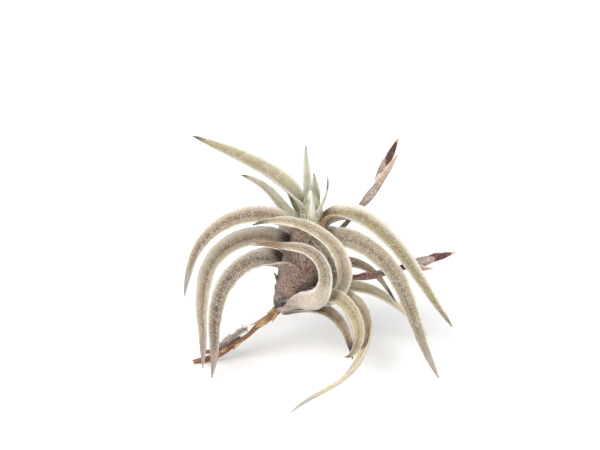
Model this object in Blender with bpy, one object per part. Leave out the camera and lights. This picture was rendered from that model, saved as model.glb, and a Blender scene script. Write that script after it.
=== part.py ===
"""Air plant (small silvery Tillandsia) as picked: recurved leaves, dry stem and two dry flower spikes.

Working lengths are millimetres and are turned into metres in one place, to_metres().
+X is the side of the two flower spikes, -Y is the side of the two forward curls, +Z is up.
The plant stands on a flat surface on the tips of its lower leaves and the end of its dry stem.
"""
import math
from collections import namedtuple

import bmesh
import bpy
from mathutils import Vector

NAME = "air_plant"

# where the drawing's zero lies from the middle of the finished plant's box, mm
SHIFT = Vector((-4.5, 1.7, 0.0))

# core: the swollen short stem that carries every leaf and both spikes
CORE_FOOT = Vector((-4.2, 0.0, 12.4))
CORE_BEND = Vector((1.0, 0.0, 17.5))
CORE_CROWN = Vector((2.4, 0.0, 34.0))
CORE_GIRTH = [(0.0, 1.4), (0.12, 2.2), (0.25, 3.1), (0.45, 3.8), (0.65, 3.7), (0.85, 2.6), (1.0, 1.1)]
CORE_SIDES, CORE_RINGS = 16, 12

# leaves: a channelled blade, its margins raised toward the outer side of the curl
LEAF_SIDES, LEAF_RINGS = 8, 13
LEAF_GAP = 0.45          # clear of the core's skin
CUP = 0.50               # channel depth, part of the width
THICK = 0.27             # blade thickness, part of the width
FOOT_WIDTH = 0.62        # width where a blade leaves the core, part of the full width
FOOT_REACH = 0.16        # part of the length over which it widens
TIP_WIDTH = 0.22         # mm

# seat: part of the way up the core; heading: degrees round from +X; sweep: change of heading to the tip
# pitch: slope above level at root, quarter, half, three quarters and tip; roll: turn of the channel
Leaf = namedtuple("Leaf", "name seat heading sweep pitch length width roll tone")
LEAVES = [
    Leaf("leaf_lead_left", 1.00, 178, 0, (78, 40, 28, 23, 23), 27.9, 3.7, -32, "tan"),
    Leaf("leaf_short_left", 0.93, 172, 16, (20, 56, 50, 34, 20), 15.5, 2.3, -35, "silver"),
    Leaf("leaf_arch_left_upper", 0.89, 200, -30, (46, 6, -37, -72, -84), 35.4, 3.4, -48, "silver"),
    Leaf("leaf_arch_left_middle", 0.76, 186, 19, (31, -20, -77, -93, -85), 42.4, 3.6, -48, "silver"),
    Leaf("leaf_arch_left_lower", 0.58, 203, 2, (45, -26, -75, -91, -78), 36.3, 3.6, -50, "silver"),
    Leaf("leaf_curl_front_upper", 0.36, -30, 62, (-11, 81, 132, 160, 189), 36.7, 3.3, 115, "pale"),
    Leaf("leaf_curl_front_lower", 0.14, -68, 87, (38, 28, 96, 175, 166), 34.3, 2.9, 115, "pale"),
    Leaf("leaf_curl_front_inner", 0.50, -46, 65, (-40, 61, 112, 127, 157), 19.1, 1.6, 100, "brown"),
    Leaf("leaf_hook_lower", 0.24, -45, -17, (34, 32, -23, -109, -156), 31.7, 2.8, 36, "silver"),
    Leaf("leaf_long_lower", 0.30, -5, -207, (23, -11, -32, -24, -55), 44.1, 2.8, 40, "tan"),
    Leaf("leaf_tucked_lower", 0.06, -24, -17, (38, 14, -27, -67, -83), 20.9, 2.0, 10, "brown"),
    Leaf("leaf_arch_right_upper", 0.97, -2, -6, (28, -37, -55, -59, -54), 39.4, 3.6, 48, "tan"),
    Leaf("leaf_arch_right_middle", 0.86, -16, -3, (7, -34, -68, -70, -60), 41.4, 3.7, 46, "silver"),
    Leaf("leaf_pale_right", 0.44, 24, -10, (-28, -13, -37, -48, -56), 31.5, 2.6, 30, "pale"),
    Leaf("leaf_brown_right", 0.58, 20, 6, (14, -16, -41, -59, -62), 22.6, 2.2, 30, "brown"),
    Leaf("leaf_crown_tall", 1.00, 110, 5, (82, 78, 79, 84, 89), 12.9, 1.5, 0, "young"),
    Leaf("leaf_crown_short", 1.00, 60, 0, (84, 92, 98, 102, 104), 8.2, 1.4, 0, "young"),
    Leaf("leaf_crown_thin", 1.00, -45, 20, (70, 67, 68, 80, 96), 7.3, 0.9, 0, "young"),
    Leaf("leaf_crown_green", 0.93, 142, 18, (48, 57, 62, 53, 39), 8.2, 1.1, 0, "young"),
    Leaf("leaf_crown_bud", 1.00, 235, 0, (78, 80, 84, 86, 88), 4.0, 0.9, 0, "young"),
    Leaf("leaf_prop_rear", 0.26, 40, -68, (25, -36, -58, -71, -106), 21.5, 1.8, 0, "brown"),
    Leaf("leaf_rear_left_upper", 0.85, 142, 41, (31, -8, -10, -34, -74), 24.9, 2.2, 0, "silver"),
    Leaf("leaf_rear_left_lower", 0.70, 153, 15, (-2, -6, -39, -61, -86), 28.1, 2.3, 0, "silver"),
    Leaf("leaf_rear_right_upper", 0.90, 36, -8, (22, -22, -44, -52, -58), 28.2, 2.3, 0, "silver"),
    Leaf("leaf_rear_right_lower", 0.72, 54, -58, (40, -42, -35, -51, -69), 30.5, 2.3, 0, "tan"),
    Leaf("leaf_back_upper", 0.90, 90, 0, (40, 0, -45, -70, -80), 26.0, 2.8, 0, "silver"),
    Leaf("leaf_back_left", 0.70, 108, -4, (30, -5, -50, -75, -85), 24.0, 2.8, 0, "silver"),
    Leaf("leaf_back_right", 0.60, 74, -4, (25, -5, -45, -70, -80), 23.0, 2.7, 0, "tan"),
    Leaf("leaf_back_lower", 0.35, 92, 0, (20, 0, -40, -70, -85), 17.0, 2.4, 0, "silver"),
]

# old leaf sheaths lying over the core; start and end: parts of the way up it; span: degrees round it
Sheath = namedtuple("Sheath", "name start end heading span lift tone")
SHEATHS = [
    Sheath("sheath_old_left", 0.04, 0.34, 186, 66, 0.30, "dry"),
    Sheath("sheath_broad_front", 0.22, 0.84, 252, 58, 0.30, "core"),
    Sheath("sheath_old_back", 0.04, 0.40, 118, 56, 0.30, "dry"),
]
SHEATH_SIDES, SHEATH_RINGS = 12, 8
SHEATH_THICK = 0.45      # mm

# dry flower spikes: a thin stalk set with two ranks of dry bracts
# seat, heading, sweep, pitch and length as for a leaf; radius at root and tip
Spike = namedtuple("Spike", "name seat heading sweep pitch length radius")
SPIKES = [
    Spike("spike_upper_stalk", 0.76, 16, 6, (40, 44, 54, 64, 66), 25.4, (0.50, 0.22)),
    Spike("spike_side_stalk", 0.57, 5, 11, (-40, 8, 8, 13, 22), 27.8, (0.48, 0.20)),
]
# start: part of the way along the stalk; side: +1 upper rank, -1 lower rank; lean: degrees off the stalk
Bract = namedtuple("Bract", "name spike start side lean length width tone")
BRACTS = [
    Bract("spike_upper_bract_1", 0, 0.55, 1, 3, 6.4, 2.1, "mauve"),
    Bract("spike_upper_bract_2", 0, 0.64, -1, 3, 6.6, 2.2, "tan"),
    Bract("spike_upper_bract_3", 0, 0.82, 1, 6, 3.6, 1.6, "mauve"),
    Bract("spike_upper_bract_4", 0, 0.92, -1, -4, 4.6, 1.7, "maroon"),
    Bract("spike_side_bract_1", 1, 0.14, -1, 3, 5.0, 1.6, "mauve"),
    Bract("spike_side_bract_2", 1, 0.30, 1, 3, 4.8, 1.5, "mauve"),
    Bract("spike_side_bract_3", 1, 0.50, -1, 3, 5.0, 1.6, "maroon"),
    Bract("spike_side_bract_4", 1, 0.72, 1, 3, 6.0, 2.0, "mauve"),
    Bract("spike_side_bract_5", 1, 0.72, -1, 24, 3.0, 1.3, "tan"),
    Bract("spike_side_bract_6", 1, 0.86, -1, 2, 5.2, 1.7, "maroon"),
]
BRACT_SIDES, BRACT_RINGS = 8, 7
BRACT_GAP = 0.28
BRACT_BELLY = 0.22       # mm its middle stands off the stalk
BRACT_CUP = 0.30         # hollow, part of the width
BRACT_THICK = 0.14       # half its thickness, part of the width
SPIKE_RINGS = 14

# dry wiry stem and what hangs on it: points (x, y, z, radius) in mm
STEM = [(-4.5, 0.0, 12.1, 1.25), (-5.2, -0.1, 11.2, 1.05), (-6.6, -0.2, 9.9, 0.95), (-7.8, -0.3, 9.05, 1.0),
        (-9.0, -0.3, 7.95, 0.80), (-10.4, -0.4, 6.4, 0.72), (-12.4, -0.5, 4.85, 0.68), (-14.5, -0.5, 3.2, 0.64),
        (-16.3, -0.4, 1.75, 0.66), (-18.1, -0.4, 0.95, 0.80), (-20.2, -1.3, 0.80, 0.74), (-22.0, -1.7, 0.60, 0.50)]
ROOT = [(-12.4, 0.85, 4.9, 0.36), (-14.5, 1.5, 3.15, 0.42), (-16.7, 2.1, 1.55, 0.42), (-18.6, 2.5, 0.7, 0.40),
        (-20.3, 2.8, 0.42, 0.32)]
TUFT = [(-11.0, 0.5, 7.2, 0.25), (-12.2, 0.8, 6.5, 0.50), (-13.6, 0.9, 5.3, 0.50), (-14.6, 1.0, 4.6, 0.70),
        (-15.9, 1.0, 3.6, 0.50), (-16.9, 0.9, 2.8, 0.20)]
STUB = [(-4.6, -0.8, 18.9, 0.20), (-4.8, -0.9, 19.5, 0.32), (-4.9, -0.9, 20.1, 0.30), (-5.2, -1.0, 20.8, 0.15)]
WIRE_ROUND = 1           # gives six-sided wires

# tone: colour, roughness
TONES = {
    "silver": ((0.42, 0.42, 0.34), 0.75),
    "tan": ((0.44, 0.38, 0.27), 0.72),
    "pale": ((0.56, 0.53, 0.42), 0.72),
    "young": ((0.52, 0.56, 0.42), 0.70),
    "brown": ((0.24, 0.20, 0.15), 0.78),
    "dry": ((0.17, 0.13, 0.10), 0.85),
    "core": ((0.30, 0.22, 0.20), 0.80),
    "stem": ((0.36, 0.20, 0.10), 0.70),
    "root": ((0.20, 0.11, 0.07), 0.75),
    "fuzz": ((0.50, 0.48, 0.45), 0.90),
    "stalk": ((0.30, 0.24, 0.17), 0.75),
    "mauve": ((0.36, 0.24, 0.24), 0.72),
    "maroon": ((0.20, 0.08, 0.08), 0.70),
}


def clear_scene():
    """Remove every object of the starting scene."""
    for thing in list(bpy.data.objects):
        bpy.data.objects.remove(thing, do_unlink=True)


def to_metres(point):
    return (point + SHIFT) * 0.001


def blend(table, place):
    """Straight-line value from (place, value) pairs."""
    for (a, low), (b, high) in zip(table, table[1:]):
        if place <= b:
            return low + (high - low) * (place - a) / (b - a)
    return table[-1][1]


def core_axis(seat):
    rest = 1.0 - seat
    return CORE_FOOT * rest * rest + CORE_BEND * 2.0 * rest * seat + CORE_CROWN * seat * seat


def level(heading):
    return Vector((math.cos(heading), math.sin(heading), 0.0))


def core_rim(seat, heading, clear):
    """Point at a distance clear of the core's skin, square to its axis."""
    ahead = (core_axis(min(1.0, seat + 0.01)) - core_axis(max(0.0, seat - 0.01))).normalized()
    side = Vector((0, 1, 0))
    out = side.cross(ahead) * math.cos(heading) + side * math.sin(heading)
    return core_axis(seat) + out * (blend(CORE_GIRTH, seat) + clear)


def curve_frames(seat, heading, sweep, pitch, length, rings, gap):
    """Points and directions of a blade's or stalk's middle line: (point, along, across, outward)."""
    around = math.radians(heading)
    point = core_rim(seat, around, gap)
    slopes = [(i / (len(pitch) - 1), math.radians(value)) for i, value in enumerate(pitch)]
    fine = 4
    frames = []
    for step in range((rings - 1) * fine + 1):
        place = step / ((rings - 1) * fine)
        turn = around + math.radians(sweep) * place
        slope = blend(slopes, place)
        along = level(turn) * math.cos(slope) + Vector((0, 0, math.sin(slope)))
        across = Vector((-math.sin(turn), math.cos(turn), 0.0))
        if step % fine == 0:
            frames.append((point.copy(), along, across, along.cross(across)))
        point = point + along * (length / ((rings - 1) * fine))
    return frames


def ring_cylinder(sides, rings):
    """A closed cylinder primitive cut into rings; its vertices carry (ring, angle) as plain positions."""
    body = bmesh.new()
    bmesh.ops.create_cone(body, cap_ends=True, cap_tris=False, segments=sides,
                          radius1=1.0, radius2=1.0, depth=rings - 1.0)
    uprights = [edge for edge in body.edges if abs(edge.verts[0].co.z - edge.verts[1].co.z) > 0.5]
    bmesh.ops.subdivide_edges(body, edges=uprights, cuts=rings - 2, use_grid_fill=True)
    bmesh.ops.recalc_face_normals(body, faces=body.faces[:])
    places = [(round(vert.co.z + (rings - 1) / 2.0), math.atan2(vert.co.y, vert.co.x)) for vert in body.verts]
    return body, places


def shape(name, tone, sides, rings, place_vertex):
    """One closed named piece: every vertex of the ringed cylinder moved to place_vertex(ring, angle)."""
    body, places = ring_cylinder(sides, rings)
    for vert, (ring, angle) in zip(body.verts, places):
        vert.co = to_metres(place_vertex(ring, angle))
    if body.calc_volume(signed=True) < 0.0:
        bmesh.ops.reverse_faces(body, faces=body.faces[:])
    for face in body.faces:
        face.smooth = True
    mesh = bpy.data.meshes.new(name)
    body.to_mesh(mesh)
    body.free()
    mesh.materials.append(tone_material(name, tone))
    thing = bpy.data.objects.new(name, mesh)
    PLANT.objects.link(thing)


def tone_material(name, tone):
    colour, roughness = TONES[tone]
    material = bpy.data.materials.new("mat_" + name)
    material.use_nodes = True
    surface = next(node for node in material.node_tree.nodes if node.type == "BSDF_PRINCIPLED")
    surface.inputs["Base Color"].default_value = (*colour, 1.0)
    surface.inputs["Roughness"].default_value = roughness
    surface.inputs["Metallic"].default_value = 0.0
    material.diffuse_color = (*colour, 1.0)
    return material


def blade_width(width, place):
    foot = FOOT_WIDTH + (1.0 - FOOT_WIDTH) * min(1.0, place / FOOT_REACH)
    return max(TIP_WIDTH, width * foot * (1.0 - place * place) ** 0.7)


def blade_point(frame, width, angle, roll, cup=CUP, thick=THICK):
    """Point on a blade's channelled section at an angle round it."""
    point, _, across, outward = frame
    face = outward * math.cos(roll) - across * math.sin(roll)
    side = across * math.cos(roll) + outward * math.sin(roll)
    rise = cup * width * (math.cos(angle) ** 2 - 0.5) + 0.5 * thick * width * math.sin(angle)
    return point + side * (0.5 * width * math.cos(angle)) + face * rise


def build_leaf(leaf):
    frames = curve_frames(leaf.seat, leaf.heading, leaf.sweep, leaf.pitch, leaf.length, LEAF_RINGS, LEAF_GAP)
    roll = math.radians(leaf.roll)

    def place_vertex(ring, angle):
        width = blade_width(leaf.width, ring / (LEAF_RINGS - 1))
        return blade_point(frames[ring], width, angle, roll)

    shape(leaf.name, leaf.tone, LEAF_SIDES, LEAF_RINGS, place_vertex)


def build_core():
    """The core: a tapering round body along the bent axis."""
    rings = CORE_RINGS

    def place_vertex(ring, angle):
        return core_rim(ring / (rings - 1), angle, 0.0)

    shape("leaf_core", "core", CORE_SIDES, rings, place_vertex)


def build_sheath(sheath):
    """A thin curved shield lying over the core, wide below and narrowed to a blunt top."""
    rings = SHEATH_RINGS

    def place_vertex(ring, angle):
        place = ring / (rings - 1)
        seat = sheath.start + (sheath.end - sheath.start) * place
        spread = (0.7 + 0.3 * min(1.0, place / 0.3)) * (1.0 - place ** 2.2) ** 0.6
        half = math.radians(sheath.span) / 2.0 * max(0.12, spread)
        around = math.radians(sheath.heading) + half * math.cos(angle)
        return core_rim(seat, around, sheath.lift + SHEATH_THICK * (0.5 + 0.5 * math.sin(angle)))

    shape(sheath.name, sheath.tone, SHEATH_SIDES, rings, place_vertex)


def build_wire(name, tone, points):
    """A round wire through (point, radius) pairs in mm: a curve with a bevel and filled caps."""
    line = bpy.data.curves.new(name, "CURVE")
    line.dimensions = "3D"
    line.bevel_depth = 0.001
    line.bevel_resolution = WIRE_ROUND
    line.use_fill_caps = True
    strand = line.splines.new("POLY")
    strand.points.add(len(points) - 1)
    for bead, (centre, radius) in zip(strand.points, points):
        bead.co = (*to_metres(centre), 1.0)
        bead.radius = radius
    strand.use_smooth = True
    line.materials.append(tone_material(name, tone))
    thing = bpy.data.objects.new(name, line)
    PLANT.objects.link(thing)


def beads(table):
    return [(Vector(row[:3]), row[3]) for row in table]


def spike_line(spike, rings):
    return curve_frames(spike.seat, spike.heading, spike.sweep, spike.pitch, spike.length, rings, LEAF_GAP)


def spike_radius(spike, place):
    root, tip = spike.radius
    return root + (tip - root) * place


def build_spike(spike):
    frames = spike_line(spike, SPIKE_RINGS)
    points = [(frame[0], spike_radius(spike, ring / (SPIKE_RINGS - 1))) for ring, frame in enumerate(frames)]
    build_wire(spike.name, "stalk", points)


def build_bract(bract):
    """A cupped bract beside its stalk, hollow toward the stalk."""
    spike = SPIKES[bract.spike]
    steps = 60
    point, along, across, outward = spike_line(spike, steps + 1)[round(bract.start * steps)]
    out = outward * bract.side
    lean = math.radians(bract.lean)
    ahead = along * math.cos(lean) + out * math.sin(lean)
    face = out * math.cos(lean) - along * math.sin(lean)
    root = point + out * (spike_radius(spike, bract.start) + BRACT_GAP)

    def place_vertex(ring, angle):
        place = ring / (BRACT_RINGS - 1)
        foot = 0.55 + 0.45 * min(1.0, place / 0.3)
        width = max(TIP_WIDTH, bract.width * foot * (1.0 - place ** 2.4) ** 0.8)
        belly = BRACT_BELLY * math.sin(math.pi * min(1.0, place * 1.15))
        rise = width * (BRACT_THICK * math.sin(angle) - BRACT_CUP * (math.cos(angle) ** 2 - 0.5))
        return (root + ahead * (bract.length * place) + face * (belly + rise)
                + across * (0.5 * width * math.cos(angle)))

    shape(bract.name, bract.tone, BRACT_SIDES, BRACT_RINGS, place_vertex)


clear_scene()
PLANT = bpy.data.collections.new(NAME)
bpy.context.scene.collection.children.link(PLANT)
build_core()
for each in LEAVES:
    build_leaf(each)
for each in SHEATHS:
    build_sheath(each)
build_wire("dry_stem", "stem", beads(STEM))
build_wire("sheath_torn_stub", "dry", beads(STUB))
build_wire("side_root", "root", beads(ROOT))
build_wire("root_hair_tuft", "fuzz", beads(TUFT))
for each in SPIKES:
    build_spike(each)
for each in BRACTS:
    build_bract(each)
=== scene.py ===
"""Looks of the small silvery air plant: scaly leaves, wrapped leaf bases, dry stem and flower spikes.

Working lengths are millimetres in the drawing's frame; to_metres() turns them into the part's frame.
"""
import math
import random
from collections import namedtuple

import bmesh
import bpy
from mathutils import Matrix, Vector, noise


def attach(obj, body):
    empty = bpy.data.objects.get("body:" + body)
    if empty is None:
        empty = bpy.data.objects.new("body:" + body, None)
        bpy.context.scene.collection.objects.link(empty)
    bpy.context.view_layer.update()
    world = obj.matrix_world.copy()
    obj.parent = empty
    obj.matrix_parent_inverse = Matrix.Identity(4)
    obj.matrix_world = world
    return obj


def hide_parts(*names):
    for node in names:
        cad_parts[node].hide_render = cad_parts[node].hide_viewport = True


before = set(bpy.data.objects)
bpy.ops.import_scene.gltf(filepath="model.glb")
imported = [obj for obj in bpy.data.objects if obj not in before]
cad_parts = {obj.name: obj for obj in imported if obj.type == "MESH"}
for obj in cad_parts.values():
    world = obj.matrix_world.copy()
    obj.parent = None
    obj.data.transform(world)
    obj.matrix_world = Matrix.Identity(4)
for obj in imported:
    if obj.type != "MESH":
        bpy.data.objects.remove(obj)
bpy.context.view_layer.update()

# where the drawing's zero lies from the middle of the plant's box, mm
SHIFT = Vector((-4.5, 1.7, 0.0))

# core: the swollen short stem that carries every leaf and both spikes
CORE_FOOT = Vector((-4.2, 0.0, 12.4))
CORE_BEND = Vector((1.0, 0.0, 17.5))
CORE_CROWN = Vector((2.4, 0.0, 34.0))
CORE_GIRTH = [(0.0, 1.4), (0.12, 2.2), (0.25, 3.1), (0.45, 3.8), (0.65, 3.7), (0.85, 2.6), (1.0, 1.1)]
CORE_LENGTH = 23.5
CORE_SIDES, CORE_RINGS = 64, 60

# leaves: seat is a part of the way up the core; heading and sweep are degrees round from +X; pitch is the
# slope at root, quarter, half, three quarters and tip; length and width in mm; roll turns the channel;
# base: mm round the front of the wrapped base below the blade; turn: degrees the base turns round the core
# below the root; reach: mm of base below the root; flare: mm above the root over which the blade widens;
# lift: mm that the base stands further off the core, over the bases of younger leaves
Leaf = namedtuple("Leaf",
                  "name seat heading sweep pitch length width roll base turn reach flare lift finish slot")
LEAVES = [
    Leaf("lead_left", 1.00, 178, 0, (78, 40, 28, 23, 23), 27.9, 3.9, -32,
         4.4, 10, 7, 6, 0.0, "lead", "tan_leaf"),
    Leaf("short_left", 0.93, 172, 16, (20, 56, 50, 34, 20), 15.5, 2.6, -35,
         4.0, 0, 7, 4, 0.0, "short", "silver_leaf"),
    Leaf("arch_left_upper", 0.89, 200, -30, (46, 6, -37, -72, -84), 35.4, 3.7, -48,
         5.5, 20, 8, 5, 0.0, "arch_tan", "silver_leaf"),
    Leaf("arch_left_middle", 0.76, 186, 19, (31, -20, -77, -93, -85), 42.4, 3.9, -48,
         7.0, 14, 10, 6, 0.16, "arch", "silver_leaf"),
    Leaf("arch_left_lower", 0.58, 203, 2, (45, -26, -75, -91, -78), 36.3, 3.9, -50,
         8.4, 38, 12.5, 7, 0.34, "arch_brown", "silver_leaf"),
    Leaf("curl_front_upper", 0.36, -30, 62, (-11, 81, 132, 160, 189), 36.7, 3.5, 115,
         5.5, -10, 8, 6, 0.24, "curl", "pale_leaf"),
    Leaf("curl_front_lower", 0.14, -68, 87, (38, 28, 96, 175, 166), 34.3, 3.3, -65,
         3.4, -8, 3, 15, 0.3, "curl_low", "pale_leaf"),
    Leaf("curl_front_inner", 0.50, -46, 65, (-40, 61, 112, 127, 157), 19.1, 1.7, 100,
         3.0, 0, 7, 4, 0.0, "inner", "brown_leaf"),
    Leaf("hook_lower", 0.24, -45, -17, (34, 32, -23, -109, -156), 31.7, 3.3, 38,
         4.4, 0, 5, 5, 0.2, "hook", "silver_leaf"),
    Leaf("long_lower", 0.30, -5, -207, (23, -11, -32, -24, -55), 44.1, 3.1, 40,
         4.4, 0, 6, 5, 0.2, "long", "tan_leaf"),
    Leaf("tucked_lower", 0.06, -24, -17, (38, 14, -27, -67, -83), 20.9, 3.0, 20,
         3.6, 0, 2, 7, 0.3, "tucked", "brown_leaf"),
    Leaf("arch_right_upper", 0.97, -2, -6, (28, -37, -55, -59, -54), 39.4, 3.9, 48,
         6.4, 0, 7, 8, 0.0, "right_tan", "tan_leaf"),
    Leaf("arch_right_middle", 0.86, -16, -3, (7, -34, -68, -70, -60), 41.4, 4.0, 46,
         6.0, 0, 8, 5, 0.0, "right", "silver_leaf"),
    Leaf("pale_right", 0.44, 24, -10, (-28, -13, -37, -48, -56), 31.5, 2.9, 30,
         4.5, 0, 7, 5, 0.3, "pale", "pale_leaf"),
    Leaf("brown_right", 0.58, 20, 6, (14, -16, -41, -59, -62), 22.6, 2.5, 30,
         4.5, 0, 7, 5, 0.2, "tucked", "brown_leaf"),
    Leaf("crown_tall", 1.00, 110, 5, (82, 78, 79, 84, 89), 12.9, 2.1, -40,
         2.4, 0, 7, 3, 0.0, "young", "young_leaf"),
    Leaf("crown_short", 1.00, 60, 0, (84, 92, 98, 102, 104), 8.2, 1.9, 30,
         2.2, 0, 7, 3, 0.0, "young", "young_leaf"),
    Leaf("crown_thin", 1.00, -45, 20, (70, 67, 68, 80, 96), 9.0, 1.2, 20,
         1.8, 0, 7, 3, 0.0, "thin", "young_leaf"),
    Leaf("crown_green", 0.93, 142, 18, (48, 57, 62, 53, 39), 8.2, 1.3, -40,
         2.6, 0, 7, 3, 0.0, "green", "young_leaf"),
    Leaf("crown_bud", 1.00, 235, 0, (78, 80, 84, 86, 88), 4.0, 1.1, 180,
         1.8, 0, 7, 3, 0.0, "green", "young_leaf"),
    Leaf("prop_rear", 0.26, 40, -68, (25, -36, -58, -71, -106), 21.5, 2.1, 0,
         3.2, 0, 5, 4, 0.3, "tucked", "brown_leaf"),
    Leaf("rear_left_upper", 0.85, 142, 41, (31, -8, -10, -34, -74), 24.9, 2.6, -30,
         5.0, 0, 7, 5, 0.0, "rear", "silver_leaf"),
    Leaf("rear_left_lower", 0.70, 153, 15, (-2, -6, -39, -61, -86), 28.1, 2.7, -30,
         5.5, 0, 7, 5, 0.0, "rear", "silver_leaf"),
    Leaf("rear_right_upper", 0.90, 36, -8, (22, -22, -44, -52, -58), 28.2, 2.7, 30,
         5.0, 0, 7, 5, 0.0, "rear", "silver_leaf"),
    Leaf("rear_right_lower", 0.72, 54, -58, (40, -42, -35, -51, -69), 30.5, 2.7, 20,
         5.5, 0, 7, 5, 0.0, "rear_tan", "tan_leaf"),
    Leaf("back_upper", 0.90, 90, 0, (40, 0, -45, -70, -80), 26.0, 3.2, 0,
         5.5, 0, 7, 5, 0.0, "arch", "silver_leaf"),
    Leaf("back_left", 0.70, 108, -4, (30, -5, -50, -75, -85), 24.0, 3.2, 0,
         7.0, 0, 9, 5, 0.2, "arch", "silver_leaf"),
    Leaf("back_right", 0.60, 74, -4, (25, -5, -45, -70, -80), 23.0, 3.1, 0,
         7.0, 0, 9, 5, 0.25, "arch_tan", "tan_leaf"),
    Leaf("back_lower", 0.35, 92, 0, (20, 0, -40, -70, -85), 17.0, 2.8, 0,
         6.5, 0, 7, 5, 0.4, "arch", "silver_leaf"),
]
# the youngest leaves, closed over the growing point
HEART_LEAVES = [
    Leaf("heart_front", 1.00, -95, 25, (92, 114, 110, 98, 92), 5.2, 2.0, 0,
         2.2, 0, 5, 2, 0.0, "young", "young_leaf"),
    Leaf("heart_left", 1.00, 175, 20, (92, 116, 112, 100, 94), 5.8, 2.0, 0,
         2.2, 0, 5, 2, 0.0, "green", "young_leaf"),
    Leaf("heart_back", 1.00, 85, -20, (90, 112, 112, 98, 90), 5.6, 2.1, 0,
         2.2, 0, 5, 2, 0.0, "young", "young_leaf"),
    Leaf("heart_right", 1.00, 0, 20, (92, 118, 110, 98, 94), 5.0, 1.9, 0,
         2.2, 0, 5, 2, 0.0, "green", "young_leaf"),
]
# blades that turn over: mm between which the section goes from a bulging base to a channel
TURNED_OVER = {"curl_front_lower": (10.5, 17.0)}
SHEATH_BULGE = 0.50      # how much wider such a base is below the place where it turns
LEAF_SIDES, LEAF_RINGS = 48, 104
LEAF_GAP = 0.45          # mm a blade's root stands clear of the core
LINE_STEPS = 48          # steps in which a blade's middle line is walked
BASE_STEPS = 16          # steps of the line below it, down the base
ROOT_SMOOTHING = 34      # passes that round the corner between base and blade
LINE_SMOOTHING = 4
CUP = 0.50               # channel depth, part of the width
BLADE_BEND = 1.18        # half of the angle that the channel's section turns through
FLATTEST = 0.05          # least bend of a section while it turns over
BLADE_THICK = 0.20       # thickness of the blade, part of the width
BASE_THICK = 0.40        # thickness of the base, mm
THINNEST = 0.09          # thickness at a margin or tip at least, mm
TIP_WIDTH = 0.20         # mm
SECTION_FULLNESS = 0.6   # 1 is a round section, less is flatter sided
BASE_TUCK = 0.08         # mm the bottom of a base stands off the core
FLARE_BELOW = 2.5        # mm below the root where the base has its full width
CREASE_DEPTH = 0.085     # of the fold in the channel, part of the width
CREASE_HALF = 0.20       # of the fold in the channel, part of the half width
MARGIN_RIPPLE = 0.05     # how far a margin wanders, part of the width
RIB_HEIGHT = 0.012       # of the faint ribs along the blade, part of the width
RIB_PACE = 22.0          # radians of ribs over half of the width
TIP_PUCKER = 0.05        # how far the withered tip is puckered, part of the width
FRINGE_STEP = 0.34       # mm between the hairs on a margin
FRINGE_BATCH = 240       # hairs' vertices made before they are added to the blade
HAIR_LENGTH = (0.10, 0.26)                  # mm
HAIR_ROOT, HAIR_TIP = 0.000045, 0.000012    # radius, in metres

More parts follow.
